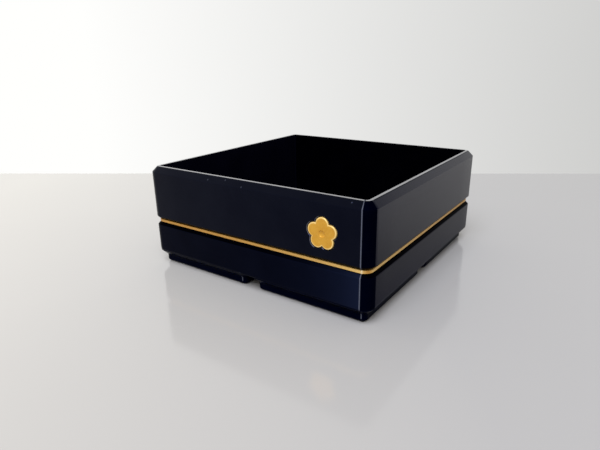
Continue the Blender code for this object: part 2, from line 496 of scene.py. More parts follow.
foot_extra = FOOT_SEAM + SEAM_STOPS * FOOT_SEAM_HALF / SEAM_HALF_WIDTH
foot_along = walk_stops(CELL_HALF, CORNER_RADIUS, FOOT_SIDE_STOPS, foot_extra)
foot_seam = seam_ridge(foot_along, FOOT_SEAM, len(foot_section), FOOT_SEAM_HALF)
foot_seam *= ((foot_section[:, 1] > FOOT_SEAM_FROM) & (foot_section[:, 1] < FOOT_SEAM_TO))[:, None]
foot_lift = SEAM_HEIGHT * foot_seam - foot_depth[:, None]
cells = CELL_PITCH / 2 * np.array([(-1, -1), (1, -1), (1, 1), (-1, 1)])
foot_grids = np.stack([
    sweep(foot_along, foot_section, foot_lift, CELL_HALF, CORNER_RADIUS, cell) for cell in cells
])
# The seam mark paints a highlight on the feet's seam ridge.
foot_marks = {"seam": np.tile(foot_seam.ravel(), len(cells))}
feet = new_piece("tray_feet", foot_grids, closed_faces(foot_grids), foot_marks)
sole_grids = np.stack([bead_skin(CELL_HALF - sole_inset, 0.0, -1, cell) for cell in cells])
soles = new_piece("tray_sole_skins", sole_grids, closed_faces(sole_grids))

# %% [markdown]
# ## The gold band
# The band is a thin square ring that lies in the groove, set back from both black faces, and it has
# sunk a little in its clearance. It is a closed ring in both directions, so it has no end rows. A
# painted highlight makes the silky gold paler near the seam, so a mark on the points fades with the
# distance from the seam: slowly along the right side and faster along the front. The painted
# highlight is left out of the corner just past the seam, so that corner stays darker.

# %% Gold band
BAND_BACK = REBATE_INSET
BAND_DROP = 0.05 * MM
BAND_SIDE_STOPS = 12
BAND_SEAM = CORNER_RADIUS * np.radians(14)
BAND_SEAM_HALF = 0.6 * MM

band_section, band_depth = lay_beads(eased([
    (BAND_BACK, BAND_BOTTOM - BAND_DROP),
    (GROOVE_DEPTH, BAND_BOTTOM - BAND_DROP),
    (GROOVE_DEPTH, BAND_TOP - BAND_DROP),
    (BAND_BACK, BAND_TOP - BAND_DROP),
]))
band_extra = BAND_SEAM + SEAM_STOPS * BAND_SEAM_HALF / SEAM_HALF_WIDTH
band_along = walk_stops(HALF_WIDTH, CORNER_RADIUS, BAND_SIDE_STOPS, band_extra)
band_seam = seam_ridge(band_along, BAND_SEAM, len(band_section), BAND_SEAM_HALF)
band_seam *= (band_section[:, 0] < GROOVE_DEPTH + EDGE_EASE)[:, None]
band_grid = sweep(band_along, band_section, SEAM_HEIGHT * band_seam - band_depth[:, None])
print("band grid:", band_grid.shape[0], "rows of", band_grid.shape[1], "points")

# %% Painted highlight on the band
# The band's painted highlight fades from the seam and is left out of the corner just past it.
START_LENGTH, END_LENGTH = 60 * MM, 25 * MM
HIGHLIGHT_GAP_AT, HIGHLIGHT_GAP_SPREAD = 2.3 * MM, 1.6 * MM

since_start = np.mod(band_along - BAND_SEAM, outline_length)
until_end = outline_length - since_start
band_highlight = np.maximum(np.exp(-since_start / START_LENGTH), np.exp(-until_end / END_LENGTH))
band_highlight *= 1 - np.exp(-((since_start - HIGHLIGHT_GAP_AT) / HIGHLIGHT_GAP_SPREAD) ** 2)
# The pale mark paints the band's highlight, and the seam mark its glint.
band_marks = {"seam": band_seam, "pale": band_highlight * np.ones((len(band_section), 1))}
band = new_piece("waist_band", band_grid, ring_faces(band_grid), band_marks)

# %% [markdown]
# ## The upper frame
# The frame drops over the tongue with a rebate. Outside it has a groove flank at its foot and a
# chamfer under the rim; the rim's flat is nearly three beads wide. A few pimples sit on the front
# chamfer, and a small blob tops the seam. They are all lifts, so one sweep makes the whole frame.

# %% Section of the frame
RIM_EASE = 0.30 * MM
HAIR = 1e-7

frame_section, frame_depth = lay_beads(eased([
    (REBATE_INSET, UPPER_SEAT),
    (GROOVE_DEPTH, UPPER_SEAT),
    (0.0, UPPER_BOTTOM),
    (0.0, UPPER_TOP),
    (RIM_CHAMFER, RIM_TOP),
    (WALL, RIM_TOP),
    (WALL, REBATE_TOP),
    (REBATE_INSET, REBATE_TOP),
], [EDGE_EASE] * 3 + [RIM_EASE, 2 * JOINT_EASE, JOINT_EASE]))
rim_row = np.flatnonzero(frame_section[:, 1] > RIM_TOP - HAIR)[0]
print("rim row", rim_row, "of", len(frame_section))

# %% Upper frame
FRAME_SIDE_STOPS = 6
FRAME_SEAM = CORNER_RADIUS * np.radians(12.5)
PIMPLE_X = np.array([-14.0, -7.3, -0.3, 35.4]) * MM
PIMPLE_UP = np.array([0.6, 1.2, 0.25, 1.1]) * MM
BLOB_HEIGHT = 0.16 * MM
BLOB_ROWS = 6.0

pimple_at = front_middle + PIMPLE_X
frame_extra = np.concatenate([FRAME_SEAM + SEAM_STOPS, (pimple_at[:, None] + PIMPLE_STOPS).ravel()])
frame_along = walk_stops(HALF_WIDTH, CORNER_RADIUS, FRAME_SIDE_STOPS, frame_extra)
frame_rows = np.arange(len(frame_section))
outer_rows = (frame_rows <= rim_row)[:, None]
frame_seam = seam_ridge(frame_along, FRAME_SEAM, len(frame_section)) * outer_rows
pimples = pimple_bells(frame_along, frame_section[:, 1], pimple_at, UPPER_TOP + PIMPLE_UP) * outer_rows
across_blob = (frame_along - FRAME_SEAM) / SEAM_HALF_WIDTH
along_blob = (frame_rows - rim_row) / BLOB_ROWS
blob = np.exp(-along_blob[:, None] ** 2 - across_blob**2)
frame_lift = SEAM_HEIGHT * frame_seam + PIMPLE_HEIGHT * pimples + BLOB_HEIGHT * blob - frame_depth[:, None]
frame_grid = sweep(frame_along, frame_section, frame_lift)
# The seam mark paints a highlight on the seam ridge and gives the pimples a share of the same pale tone.
frame_marks = {"seam": np.maximum(frame_seam, PIMPLE_TONE * pimples)}
upper = new_piece("rim_frame", frame_grid, ring_faces(frame_grid), frame_marks)

# %% [markdown]
# ## The blossom's outline
# The ornament is a blossom of five petals. Each petal is an arc of a circle through its tip and the
# notches at its sides, so one formula gives the distance from the middle for every angle, and
# growing the circle gives the pocket's outline around it.

# %% Blossom outline
PETALS = 5
PETAL_STEPS = 36
TIP = 4.6 * MM
NOTCH = 3.4 * MM
FRONT = -HALF_WIDTH

inlay_x = (inlay_low[0] + inlay_high[0]) / 2
inlay_z = inlay_high[2] - TIP
half_petal = np.pi / PETALS
petal_centre = (TIP**2 - NOTCH**2) / (2 * (TIP - NOTCH * np.cos(half_petal)))
off_axis = np.tile(half_petal * (2 * np.arange(PETAL_STEPS) / PETAL_STEPS - 1), PETALS)
angle = np.pi / 2 + 2 * half_petal * np.repeat(np.arange(PETALS), PETAL_STEPS) + off_axis


def petal_edge(grow):
    """Distance of the outline from the middle: c cos(a) + sqrt(r^2 - (c sin(a))^2).

    The angle a is off the petal's axis, c is how far out the petal's circle stands, and r its radius.
    """
    circle = TIP - petal_centre + grow
    return petal_centre * np.cos(off_axis) + np.sqrt(circle**2 - (petal_centre * np.sin(off_axis)) ** 2)


def blossom_grid(away, depth):
    """Points at the distances away (rows by columns) from the middle, at y = depth.

    They run clockwise, seen from the front: x is the middle's x - away * cos(angle), and z is the
    middle's z + away * sin(angle).
    """
    x = inlay_x - away * np.cos(angle)
    z = inlay_z + away * np.sin(angle)
    return np.dstack([x, np.broadcast_to(depth, x.shape), z])


print("in mm: a petal's radius is", round((TIP - petal_centre) / MM, 2))

# %% [markdown]
# ## The pocket
# The pocket is cut out of the front wall with a Boolean, because its outline crosses dozens of
# layers. The cutter flares towards its mouth, so the edge of the pocket gets a small chamfer that
# catches light. The result is kept as a plain mesh, and the cutter is removed.

# %% Pocket
POCKET_DEPTH = 1.0 * MM
POCKET_CHAMFER = 0.14 * MM

cut_grow = np.array([FIT + 3 * POCKET_CHAMFER, FIT, FIT])
cut_y = np.array([FRONT - 2 * POCKET_CHAMFER, FRONT + POCKET_CHAMFER, FRONT + POCKET_DEPTH])
cutter_grid = blossom_grid(np.stack([petal_edge(grow) for grow in cut_grow]), cut_y[:, None])
cutter = new_piece("pocket_cutter", cutter_grid, closed_faces(cutter_grid[None]))
cut = upper.modifiers.new("pocket", "BOOLEAN")
cut.operation = "DIFFERENCE"
cut.solver = "EXACT"
cut.object = cutter
cut_frame = upper.evaluated_get(bpy.context.evaluated_depsgraph_get())
cut_mesh = bpy.data.meshes.new_from_object(cut_frame)
upper.modifiers.remove(cut)
smooth(cut_mesh)
upper.data = cut_mesh
bpy.data.objects.remove(cutter)
print("frame with pocket:", len(upper.data.polygons), "faces")

# %% [markdown]
# ## The blossom
# The ornament is a thin gold print pressed into the pocket, almost level with the wall. Its edge is
# rounded and carries a painted highlight, its face is drawn with diagonal beads, and a shallow dish marks
# the middle.
# The rows run from the bottom of the dish over the face and the edge to the back, so one grid holds
# the whole piece.

# %% Rows of the blossom
EDGE_ROUND = 0.26 * MM
EYE_RADIUS = 1.0 * MM
EYE_DEPTH = 0.35 * MM
EYE_START = 0.04
EYE_ROWS, FACE_ROWS, EDGE_ROWS = 9, 36, 7
FACE, BACK = inlay_low[1], inlay_high[1]

outline = petal_edge(0.0)
eye_turn = np.linspace(EYE_START, np.pi / 2, EYE_ROWS)[:, None]
eye_away = EYE_RADIUS * np.sin(eye_turn) * np.ones_like(outline)
eye_y = FACE + EYE_DEPTH * np.cos(eye_turn)
share = np.linspace(0, 1, FACE_ROWS + 2)[1:-1, None]
face_away = (1 - share) * EYE_RADIUS + share * (outline - EDGE_ROUND)
face_y = np.full_like(share, FACE)
edge_turn = np.linspace(0, np.pi / 2, EDGE_ROWS)[:, None]
edge_away = outline - EDGE_ROUND * (1 - np.sin(edge_turn))
edge_y = FACE + EDGE_ROUND * (1 - np.cos(edge_turn))
inlay_away = np.concatenate([eye_away, face_away, edge_away, outline[None, :]])
inlay_y = np.concatenate([eye_y, face_y, edge_y, [[BACK]]])
print("blossom:", len(inlay_y), "rows of", len(outline), "points")

# %% Blossom
PLAIN_ROWS = 5

inlay_grid = blossom_grid(inlay_away, inlay_y)
across_face = (inlay_grid[:, :, 0] + inlay_grid[:, :, 2]) / np.sqrt(2)
on_face = (np.arange(len(inlay_y)) < len(inlay_y) - PLAIN_ROWS)[:, None]
inlay_grid[:, :, 1] += on_face * bead_depth(across_face / BEAD)
# Painted highlight on the blossom's rounded edge.
edge_highlight = np.clip((inlay_away - outline + 2 * EDGE_ROUND) / EDGE_ROUND, 0, 1)
blossom = new_piece("blossom_inlay", inlay_grid, closed_faces(inlay_grid[None]), {"pale": edge_highlight})

# %% [markdown]
# ## Finishes
# Each finish is a Principled shader fed by small patterns that read Object coordinates, so they have
# a real size in metres. A few short helpers keep the node setups readable.


# %% A new finish and its patterns
def new_finish(name):
    """Empty finish: its material, node tree and shader."""
    material = bpy.data.materials.new(name)
    material.use_nodes = True
    tree = material.node_tree
    return material, tree, tree.nodes["Principled BSDF"]


def speckle(tree, size, stretch=(1.0, 1.0, 1.0), detail=2.0):
    """Noise with features of about that size in metres, made longer along each axis by stretch."""
    place = tree.nodes.new("ShaderNodeTexCoord")
    mapping = tree.nodes.new("ShaderNodeMapping")
    mapping.inputs["Scale"].default_value = [1.0 / (size * s) for s in stretch]
    pattern = tree.nodes.new("ShaderNodeTexNoise")
    pattern.inputs["Scale"].default_value = 1.0
    pattern.inputs["Detail"].default_value = detail
    tree.links.new(place.outputs["Object"], mapping.inputs["Vector"])
    tree.links.new(mapping.outputs["Vector"], pattern.inputs["Vector"])
    return pattern.outputs["Fac"]


def ranged(tree, value, low, high, from_low=0.3, from_high=0.7):
    """A pattern's middle range stretched to run from low to high."""
    node = tree.nodes.new("ShaderNodeMapRange")
    node.inputs["From Min"].default_value = from_low
    node.inputs["From Max"].default_value = from_high
    node.inputs["To Min"].default_value = low
    node.inputs["To Max"].default_value = high
    tree.links.new(value, node.inputs["Value"])
    return node.outputs["Result"]


# %% Blending tones and reading marks
def blended(tree, share, first, second):
    """Colour between two colours. The first may be a colour or another node's output."""
    node = tree.nodes.new("ShaderNodeMix")
    node.data_type = "RGBA"
    if isinstance(first, tuple):
        node.inputs["A"].default_value = first
    else:
        tree.links.new(first, node.inputs["A"])
    node.inputs["B"].default_value = second
    tree.links.new(share, node.inputs["Factor"])
    return node.outputs["Result"]


def mark(tree, name):
    """The number that a mesh carries on its points under that name."""
    node = tree.nodes.new("ShaderNodeAttribute")
    node.attribute_name = name
    return node.outputs["Fac"]


def height_share(tree, low, high):
    """Share of the way from a low to a high level, at each place of a piece."""
    place = tree.nodes.new("ShaderNodeTexCoord")
    parts = tree.nodes.new("ShaderNodeSeparateXYZ")
    tree.links.new(place.outputs["Object"], parts.inputs["Vector"])
    return ranged(tree, parts.outputs["Z"], 0.0, 1.0, low, high)


# %% [markdown]
# ## The gloss of a print
# Layers come out a little glossier or duller than their neighbours, so the roughness follows a noise
# that is long along the walls and short upwards. Under it lies a grain finer than a bead, which only
# breaks up the gloss, so a bump is enough for it. Black and gold share both.

# %% Printed gloss
LAYER_SIZE = 1.2 * LAYER
LAYER_STRETCH = (60.0, 60.0, 1.0)
GRAIN_SIZE = 0.12 * MM
GRAIN_DEPTH = 0.004 * MM
GRAIN_STRENGTH = 0.5


def printed_gloss(tree, shader, glossy, dull):
    """Roughness that runs from glossy to dull with the layers, and the fine grain."""
    layers = speckle(tree, LAYER_SIZE, LAYER_STRETCH)
    tree.links.new(ranged(tree, layers, glossy, dull), shader.inputs["Roughness"])
    bump = tree.nodes.new("ShaderNodeBump")
    bump.inputs["Distance"].default_value = GRAIN_DEPTH
    bump.inputs["Strength"].default_value = GRAIN_STRENGTH
    tree.links.new(speckle(tree, GRAIN_SIZE), bump.inputs["Height"])
    tree.links.new(bump.outputs["Normal"], shader.inputs["Normal"])


print("in mm: the grain is", round(GRAIN_SIZE / MM, 2), "wide and", round(GRAIN_DEPTH / MM, 3), "deep")

# %% [markdown]
# ## Black plastic
# The black is a satin plastic that looks blue face-on and grey at a glancing angle. A blue base
# colour would also be blue at a glancing angle, so the base is nearly black and the tint is given to
# the gloss: the shader uses it face-on and lets it fade to white towards grazing. A painted sheen
# makes the plastic paler and bluer beside the seam, a painted highlight lightens the seam ridge, and
# a painted reflection makes the side walls paler towards their tops.
#
# The walls are lit and shaded copies of one black, with their own index of refraction, tones and gloss
# tint by where the faces lie and which way they look. As painted light, the side walls are brighter
# than the walls at the front and the back, and so are the chamfers and the inside at the sides, and
# the left half of the lower edge at the front and the back. As painted shade, the corner past the seam
# is darkest, and the feet, the flanks of the groove and the inside at the front and the back are darker
# too. The rim's top and the pocket's edge carry a painted highlight. All of these are one recipe,
# given an index of refraction, two tones and the tint of the gloss.

# %% Black tones
WALL_TONES = (0.0031, 0.0036, 0.0066, 1.0), (0.0044, 0.0050, 0.0086, 1.0)
# Tones of the lit copies for the side walls of the frame and the tray: painted light.
LIT_SIDE_TONES = (0.0003, 0.0002, 0.0030, 1.0), (0.0006, 0.0004, 0.0045, 1.0)
LIT_LOW_SIDE_TONES = (0.0003, 0.0001, 0.0070, 1.0), (0.0006, 0.0003, 0.0090, 1.0)
TRAY_TONES = (0.0011, 0.0015, 0.0048, 1.0), (0.0018, 0.0024, 0.0070, 1.0)
# Tones of the shaded copy for the corner past the seam: painted shade.
SHADED_CORNER_TONES = (0.0001, 0.0003, 0.0027, 1.0), (0.0002, 0.0006, 0.0046, 1.0)
# Tones of the shaded copy for the feet: painted shade.
SHADED_FEET_TONES = (0.0001, 0.0007, 0.0058, 1.0), (0.0003, 0.0012, 0.0088, 1.0)
# Tones of the shaded copy for the inside and the groove flanks: painted shade.
SHADED_INSIDE_TONES = (0.0001, 0.0001, 0.0005, 1.0), (0.0003, 0.0003, 0.0012, 1.0)
# Tones of the lit copy for the inside at the sides: a painted bluish glow.
INSIDE_SIDE_GLOW_TONES = (0.0011, 0.0011, 0.0045, 1.0), (0.0018, 0.0018, 0.0065, 1.0)
# Tones of the rim's top: a painted highlight.
RIM_HIGHLIGHT_TONES = (0.150, 0.150, 0.161, 1.0), (0.215, 0.215, 0.228, 1.0)
# Tones of the pocket's edge: a painted highlight.
POCKET_HIGHLIGHT_TONES = (0.080, 0.080, 0.100, 1.0), (0.120, 0.120, 0.145, 1.0)
# Painted highlight on the seam ridge; the pimples get a share of the same pale tone.
SEAM_HIGHLIGHT_TONE = (0.135, 0.147, 0.200, 1.0)
# Painted sheen beside the tray's seam.
SEAM_SHEEN_TONE = (0.0068, 0.0100, 0.0270, 1.0)
# Painted reflection: the side walls turn to these tones towards their tops.
FRAME_TOP_REFLECTION_TONE = (0.037, 0.037, 0.045, 1.0)
TRAY_TOP_REFLECTION_TONE = (0.012, 0.012, 0.017, 1.0)
BLUE_GLOSS = (0.08, 0.16, 0.90, 1.0)
GREY_GLOSS = (0.25, 0.28, 0.62, 1.0)
PLAIN_GLOSS = (1.0, 1.0, 1.0, 1.0)
print("the walls' tones run from", WALL_TONES[0][:3], "to", WALL_TONES[1][:3])

# %% Black plastic
BLACK_CLOUD = 9 * MM
BLACK_GLOSSY, BLACK_DULL = 0.15, 0.21


def black_plastic(name, index, tones, gloss=BLUE_GLOSS, top_reflection=None):
    """Satin black between two tones, with the index of refraction and the gloss tint given.

    The last argument, if given, is two levels and the tone that it turns to from the lower to the higher: a
    painted reflection that makes a wall paler towards its top.
    """
    material, tree, shader = new_finish(name)
    cloud = speckle(tree, BLACK_CLOUD)
    colour = blended(tree, ranged(tree, cloud, 0.0, 1.0), *tones)
    # Painted reflection: paler towards the top of a wall.
    if top_reflection:
        low, high, reflection_tone = top_reflection
        colour = blended(tree, height_share(tree, low, high), colour, reflection_tone)
    # Painted sheen: paler and bluer beside the seam.
    colour = blended(tree, mark(tree, "seam_sheen"), colour, SEAM_SHEEN_TONE)
    # Painted highlight on the seam ridge, with a share of the same pale tone on the pimples.
    colour = blended(tree, mark(tree, "seam"), colour, SEAM_HIGHLIGHT_TONE)
    tree.links.new(colour, shader.inputs["Base Color"])
    shader.inputs["IOR"].default_value = index
    shader.inputs["Specular Tint"].default_value = gloss
    printed_gloss(tree, shader, BLACK_GLOSSY, BLACK_DULL)
    print(name, "has the index", index)
    return material


# %% Black finishes
# Painted reflection on the side walls, paler towards their tops.
tray_top_reflection = FOOT_TOP, LOWER_TOP, TRAY_TOP_REFLECTION_TONE
frame_top_reflection = UPPER_SEAT, UPPER_TOP, FRAME_TOP_REFLECTION_TONE
tray_black = black_plastic("tray_black_plastic", 1.09, TRAY_TONES)
# Lit copy for the tray's side walls: painted light.
tray_side_lit_black = black_plastic("tray_side_lit_plastic", 1.118, LIT_LOW_SIDE_TONES, BLUE_GLOSS, tray_top_reflection)
frame_black = black_plastic("frame_black_plastic", 1.15, WALL_TONES)
# Lit copies for the frame's side walls and side chamfers: painted light.
frame_side_lit_black = black_plastic("frame_side_lit_plastic", 1.21, LIT_SIDE_TONES, GREY_GLOSS, frame_top_reflection)
chamfer_lit_black = black_plastic("side_chamfer_lit_plastic", 1.40, LIT_SIDE_TONES, GREY_GLOSS)
# Shaded copy for the corner past the seam: painted shade.
corner_shaded_black = black_plastic("corner_shaded_plastic", 1.03, SHADED_CORNER_TONES)
# Shaded copy for the feet: painted shade.
feet_shaded_black = black_plastic("feet_shaded_plastic", 1.06, SHADED_FEET_TONES)
# Shaded copy for the groove flanks: painted shade.
flank_shaded_black = black_plastic("groove_flank_shaded_plastic", 1.04, SHADED_INSIDE_TONES)
# Shaded copy for the inside at the front and the back: painted shade.
inside_shaded_black = black_plastic("inside_shaded_plastic", 1.12, SHADED_INSIDE_TONES)
# Lit copy for the inside at the sides: a painted glow.
inside_side_glow_black = black_plastic("inside_side_glow_plastic", 1.25, INSIDE_SIDE_GLOW_TONES)
# Lit copy for the left half of the lower edge and of the feet's neck: a painted highlight.
lower_edge_lit_black = black_plastic("lower_edge_lit_plastic", 1.13, TRAY_TONES, GREY_GLOSS)
floor_black = black_plastic("floor_plastic", 1.30, WALL_TONES, GREY_GLOSS)
sole_black = black_plastic("sole_plastic", 1.16, WALL_TONES, GREY_GLOSS)
# The rim's top carries a painted highlight.
rim_top_highlight_black = black_plastic("rim_top_highlight_plastic", 2.0, RIM_HIGHLIGHT_TONES, PLAIN_GLOSS)
# The pocket's edge carries a painted highlight.
pocket_edge_highlight_black = black_plastic("pocket_edge_highlight_plastic", 1.25, POCKET_HIGHLIGHT_TONES)

# %% [markdown]
# ## Gold plastic
# The gold is plastic with a silky pigment: between a paint and a metal. Fine flakes change the tone,
# and the layers change the gloss as on the black. A thin printed ring and a flat face come out in
# different golds, so the band and the blossom have tones of their own. Both carry a painted highlight
# where their points are marked, and the band's seam carries a painted glint.

# %% Gold plastic
BAND_TONES = (0.53, 0.243, 0.030, 1.0), (0.61, 0.300, 0.049, 1.0)
FACE_TONES = (0.62, 0.292, 0.013, 1.0), (0.70, 0.358, 0.025, 1.0)
GOLD_FLAKE = (0.82, 0.515, 0.125, 1.0)
# Tone of the painted highlight on the gold.
GOLD_PAINTED_HIGHLIGHT = (0.98, 0.670, 0.225, 1.0)
# A painted glint on the band's seam.
GOLD_PAINTED_GLINT = (1.00, 0.800, 0.500, 1.0)
GOLD_CLOUD = 2.5 * MM
FLAKE_SIZE = 0.08 * MM
FLAKE_SHARE, FLAKE_FROM, FLAKE_TO = 0.8, 0.58, 0.75
GOLD_GLOSSY, GOLD_DULL = 0.30, 0.44


def gold_plastic(name, tones, highlight_strength, metallic):
    """Silky gold plastic between two tones, with a painted highlight where its points are marked, as strong
    as the third argument says.
    """
    material, tree, shader = new_finish(name)
    cloud = speckle(tree, GOLD_CLOUD)
    flakes = speckle(tree, FLAKE_SIZE, detail=1.0)
    flake_share = ranged(tree, flakes, 0.0, FLAKE_SHARE, FLAKE_FROM, FLAKE_TO)
    highlight_share = ranged(tree, mark(tree, "pale"), 0.0, highlight_strength, 0.0, 1.0)
    colour = blended(tree, ranged(tree, cloud, 0.0, 1.0), *tones)
    colour = blended(tree, flake_share, colour, GOLD_FLAKE)
    # Painted highlight where the points are marked.
    colour = blended(tree, highlight_share, colour, GOLD_PAINTED_HIGHLIGHT)
    # Painted glint on the band's seam.
    colour = blended(tree, mark(tree, "seam"), colour, GOLD_PAINTED_GLINT)
    tree.links.new(colour, shader.inputs["Base Color"])
    shader.inputs["Metallic"].default_value = metallic
    printed_gloss(tree, shader, GOLD_GLOSSY, GOLD_DULL)
    print(name, "is", metallic, "metallic")
    return material


band_gold = gold_plastic("band_gold_plastic", BAND_TONES, highlight_strength=0.75, metallic=0.2)
inlay_gold = gold_plastic("inlay_gold_plastic", FACE_TONES, highlight_strength=1.0, metallic=0.25)

# %% [markdown]
# ## Putting the finishes on
# A piece first gets one finish as a whole, and then some of its faces get another. Faces could be
# picked by hand in Edit Mode. Here they are picked by where they lie and which way they look: the
# faces' normals and middles are two arrays, so one line says yes or no for every face at once.

# %% One finish for each piece
# The feet get a shaded copy of the black: painted shade.
for piece, finish in (
    (tray_wall, tray_black),
    (floor_skin, floor_black),
    (feet, feet_shaded_black),
    (soles, sole_black),
    (band, band_gold),
    (upper, frame_black),
    (blossom, inlay_gold),
):
    piece.data.materials.clear()
    piece.data.materials.append(finish)
    print(piece.name, "is", finish.name)

# %% Another finish for some faces
SIDEWAYS, SQUARE = 0.6, 0.2


def face_table(mesh):
    """Normals and middles of a mesh's faces, as two arrays."""
    normal, middle = np.empty((len(mesh.polygons), 3)), np.empty((len(mesh.polygons), 3))
    mesh.polygons.foreach_get("normal", normal.ravel())
    mesh.polygons.foreach_get("center", middle.ravel())
    return normal, middle


def looks_sideways(normal):
    """Which faces look to the left or the right, and hardly to the front or the back."""
    return (np.abs(normal[:, 0]) > SIDEWAYS) & (np.abs(normal[:, 1]) < SQUARE)


def finish_some(piece, chosen, finish):
    """Gives the chosen faces of a piece one more finish."""
    index = np.empty(len(piece.data.polygons), np.int32)
    piece.data.polygons.foreach_get("material_index", index)
    index[chosen] = len(piece.data.materials)
    piece.data.materials.append(finish)
    piece.data.polygons.foreach_set("material_index", index)
    print(piece.name, "has", int(chosen.sum()), "faces of", finish.name)


# %% Side walls, corner and inside
FRAME_CORNER_END, TRAY_CORNER_END = np.radians([75.0, 82.5])
INNER_SLACK = 5 * JOINT_EASE


def finish_walls(piece, side_finish, corner_end):
    """Gives the side walls, the corner past the seam and the inside their lit and shaded copies of the
    black: painted light on the side walls and the inside at the sides, painted shade on the corner and the
    inside at the front and the back.

    The corner's faces lie outwards of its anchor on both axes, and the direction of their offset from
    the anchor is past the front by more than the seam's angle and less than corner_end. Faces inside
    lie within the inner walls.
    """
    normal, middle = face_table(piece.data)
    reach = np.abs(middle[:, :2])
    outer = (reach > HALF_WIDTH - RIM_CHAMFER).any(axis=1)
    inner = (reach < HALF_WIDTH - WALL + INNER_SLACK).all(axis=1)
    offset = middle[:, :2] - (HALF_WIDTH - CORNER_RADIUS) * np.array([1, -1])
    past = np.arctan2(offset[:, 0], -offset[:, 1])
    arc = np.linalg.norm(offset, axis=1) > CORNER_RADIUS - RIM_CHAMFER
    arc &= (offset[:, 0] > 0) & (offset[:, 1] < 0)
    side = outer & looks_sideways(normal)
    # Lit copy on the side walls: painted light.
    finish_some(piece, (side & ~arc) | (arc & (past > corner_end)), side_finish)
    # Shaded copy on the corner past the seam: painted shade.
    finish_some(piece, arc & (past > FRAME_SEAM / CORNER_RADIUS) & (past < corner_end), corner_shaded_black)
    # Painted shade on the inside at the front and the back, and a painted glow on the inside at the sides.
    inner_side = np.abs(normal[:, 0]) > SIDEWAYS
    finish_some(piece, inner & ~inner_side, inside_shaded_black)
    finish_some(piece, inner & inner_side, inside_side_glow_black)
    return normal, middle


# %% Faces of the frame
FLAT = 0.98
CHAMFER_SLOPE = 0.3
FLANK_SLOPE = 0.2
FLARE_SLOPE = 0.3
FLARE_ROOM = 1 * MM

normal, middle = finish_walls(upper, frame_side_lit_black, FRAME_CORNER_END)
# Lit copy on the side chamfers: painted light.
on_chamfer = (normal[:, 2] > CHAMFER_SLOPE) & (normal[:, 2] < FLAT) & (middle[:, 2] > UPPER_TOP - RIM_EASE)
finish_some(upper, looks_sideways(normal) & on_chamfer, chamfer_lit_black)
# Painted highlight on the rim's top.
finish_some(upper, (normal[:, 2] > FLAT) & (middle[:, 2] > RIM_TOP - EDGE_EASE), rim_top_highlight_black)
# Shaded copy on the frame's groove flank: painted shade.
finish_some(upper, (normal[:, 2] < -FLANK_SLOPE) & (middle[:, 2] < UPPER_BOTTOM), flank_shaded_black)
# Painted highlight on the flare of the pocket's edge that looks to the right.
from_inlay = np.hypot(middle[:, 0] - inlay_x, middle[:, 2] - inlay_z)
flared = (normal[:, 0] > FLARE_SLOPE) & (normal[:, 1] < -FLARE_SLOPE)
flared &= (middle[:, 1] < FRONT + POCKET_CHAMFER) & (from_inlay < TIP + FLARE_ROOM)
finish_some(upper, flared, pocket_edge_highlight_black)

# %% Faces of the tray and the feet
SHADED_FLANK = 0.85 * GROOVE_FLANK
UNDER_SLOPE = 0.05
EDGE_FACING, NECK_FACING = 0.5, 0.9

normal, middle = finish_walls(tray_wall, tray_side_lit_black, TRAY_CORNER_END)
# Shaded copy on the inner part of the tray's groove flank: painted shade.
in_flank = (middle[:, 2] > BAND_SEAT - SHADED_FLANK) & (middle[:, 2] < BAND_SEAT + EDGE_EASE)
finish_some(tray_wall, (normal[:, 2] > FLANK_SLOPE) & in_flank, flank_shaded_black)
# Painted highlight on the left half of the lower edge, at the front and the back.
low_edge = (middle[:, 2] < FOOT_TOP + LOWER_EASE) & (normal[:, 2] < -UNDER_SLOPE) & (middle[:, 0] < 0)
finish_some(tray_wall, low_edge & (np.abs(normal[:, 1]) > EDGE_FACING), lower_edge_lit_black)
normal, middle = face_table(feet.data)
# Painted highlight on the left half of the feet's neck, at the front and the back.
on_neck = (middle[:, 2] > FOOT_TOP - NECK) & (np.abs(normal[:, 1]) > NECK_FACING) & (middle[:, 0] < 0)
finish_some(feet, on_neck, lower_edge_lit_black)

# %% [markdown]
# ## The table
# The bin stands on a pale painted table whose far edge crosses the picture just above the middle,
# with white behind it. The paint is glossy enough for a blurred reflection, and its colour is lighter
# and warmer towards the left: painted light that falls off to the right. The table is stage, not part of
# the object.

# %% Table top
EDGE_AWAY = 121.5 * MM
EDGE_TURN = np.radians(31.2)
TABLE_LONG, TABLE_DEEP = 1.6, 0.7

edge_along = np.array([np.cos(EDGE_TURN), np.sin(EDGE_TURN)])
edge_back = np.array([-np.sin(EDGE_TURN), np.cos(EDGE_TURN)])
far_side = EDGE_AWAY * edge_back
near_side = (EDGE_AWAY - TABLE_DEEP) * edge_back
half_table = TABLE_LONG / 2 * edge_along
corners = np.array([
    near_side - half_table,
    near_side + half_table,
    far_side + half_table,
    far_side - half_table,
])
table_mesh = bpy.data.meshes.new("table_top")
table_mesh.from_pydata(np.pad(corners, ((0, 0), (0, 1))), [], [range(4)])
table = bpy.data.objects.new("table_top", table_mesh)
bpy.context.scene.collection.objects.link(table)
print("table edge lies", round(EDGE_AWAY / MM, 1), "mm behind the middle of the bin")

# %% Table paint
# Painted light: the paint turns lighter and warmer towards the left.
TONE_FROM, TONE_TO = -30 * MM, 170 * MM
LIT_PAINT_LEFT = (0.72, 0.695, 0.655, 1.0)
SHADED_PAINT_RIGHT = (0.490, 0.485, 0.500, 1.0)
PAINT_INDEX = 1.6
PAINT_CLOUD, PAINT_STRETCH = 40 * MM, (4.0, 1.0, 1.0)
PAINT_GLOSSY, PAINT_DULL = 0.10, 0.14


